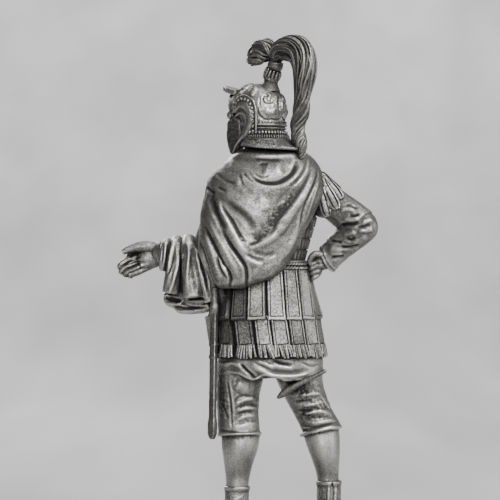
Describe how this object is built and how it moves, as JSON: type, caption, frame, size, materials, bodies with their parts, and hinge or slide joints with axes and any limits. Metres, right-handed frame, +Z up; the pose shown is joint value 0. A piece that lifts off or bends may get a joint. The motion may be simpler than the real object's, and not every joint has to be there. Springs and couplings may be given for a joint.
{
  "type": "toy soldier",
  "caption": "Small cast-metal toy soldier in helmet, cloak and strapped skirt, one hand on the hip and one held out, standing on a low base.",
  "frame": {"origin": "middle of the base's flat underside", "axes": "+Z up; +Y the way the soldier's body faces; +X towards his right hand, the one on the hip"},
  "size_m": [0.0358, 0.0184, 0.0687],
  "materials": {
    "figure": "antiqued cast tin alloy, polished high points over dark recesses",
    "base": "dull antiqued cast tin alloy"
  },
  "bodies": {
    "root": {"figure": "figure", "base": "base"}
  },
  "joints": []
}
